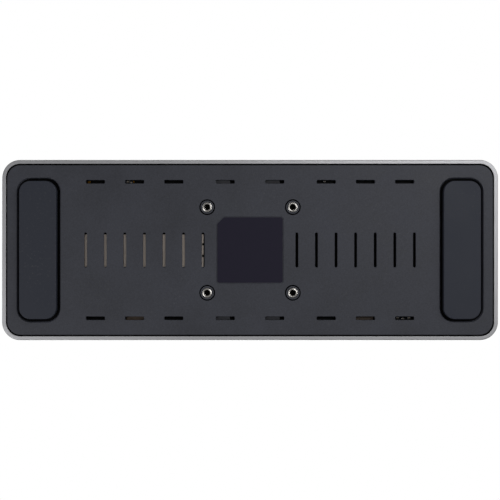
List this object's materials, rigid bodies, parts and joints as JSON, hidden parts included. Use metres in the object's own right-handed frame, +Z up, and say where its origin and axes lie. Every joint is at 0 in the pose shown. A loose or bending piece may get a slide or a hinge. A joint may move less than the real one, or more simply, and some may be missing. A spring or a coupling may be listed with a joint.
{
  "type": "laptop docking station",
  "caption": "Low rounded aluminium box with a slotted base plate, two long rubber feet, four threaded bosses, a press button and rows of sockets front and rear.",
  "frame": {"origin": "centre of the footprint, on the surface that the rubber feet stand on", "axes": "+X along the length, -Y towards the front with the power button, +Z up through the top"},
  "size_m": [0.22, 0.08, 0.028],
  "materials": {
    "shell": "bead-blasted and anodised space grey, satin",
    "plate": "dark grey fine sand-texture powder coat",
    "rubber": "soft matt rubber, very fine grain",
    "label": "blank satin foil label",
    "zinc": "bright zinc plating",
    "screw": "black nickel",
    "board": "green solder mask over glass-fibre laminate",
    "chip": "moulded epoxy",
    "pad": "soft silicone heat pad",
    "bare_aluminium": "bare rolled aluminium",
    "steel": "nickel-plated stamped steel",
    "tin": "tin plating",
    "black_plastic": "black moulded plastic, fine spark texture",
    "blue_plastic": "blue moulded contact carrier",
    "clear": "frosted clear acrylic"
  },
  "bodies": {
    "housing": {"audio_jack": "black_plastic", "board_header": "black_plastic", "board_screw_1": "screw", "board_screw_2": "screw", "board_screw_3": "screw", "board_screw_4": "screw", "bottom_plate": "plate", "bulk_capacitor_1": "chip", "bulk_capacitor_2": "chip", "card_slot": "steel", "controller_chip": "chip", "cover_screw_1": "screw", "cover_screw_2": "screw", "cover_screw_3": "screw", "cover_screw_4": "screw", "dc_jack": "black_plastic", "dc_jack_pin": "tin", "device_usb_c_shell": "steel", "device_usb_c_tongue": "black_plastic", "display_stack_1_insert": "black_plastic", "display_stack_1_shell": "steel", "display_stack_2_insert": "black_plastic", "display_stack_2_shell": "steel", "foot_left": "rubber", "foot_right": "rubber", "front_panel": "black_plastic", "front_usb_a_1_shell": "steel", "front_usb_a_1_tongue": "blue_plastic", "front_usb_a_2_shell": "steel", "front_usb_a_2_tongue": "blue_plastic", "front_usb_c_shell": "steel", "front_usb_c_tongue": "black_plastic", "heat_sink": "bare_aluminium", "heat_sink_pad": "pad", "heat_spreader": "bare_aluminium", "host_usb_c_shell": "steel", "host_usb_c_tongue": "black_plastic", "light_pipe": "clear", "lock_plate": "steel", "main_board": "board", "mount_nut_1": "zinc", "mount_nut_2": "zinc", "mount_nut_3": "zinc", "mount_nut_4": "zinc", "network_jack": "steel", "network_transformer": "chip", "port_board": "board", "port_board_screw_1": "screw", "port_board_screw_2": "screw", "power_switch": "black_plastic", "rating_label": "label", "rear_panel": "black_plastic", "rear_usb_a_stack_shell": "steel", "rear_usb_a_stack_tongue": "blue_plastic", "spreader_pad": "pad", "stiffener_front": "zinc", "stiffener_rear": "zinc", "top_shell": "shell"},
    "button": {"power_button": "black_plastic", "switch_plunger": "steel"}
  },
  "joints": [
    {"name": "button_press", "type": "slide", "parent": "housing", "child": "button", "axis": [0, 1, 0], "range_m": [0, 0.0005], "stiffness_N_per_m": 1500, "springref_m": -0.0006}
  ]
}
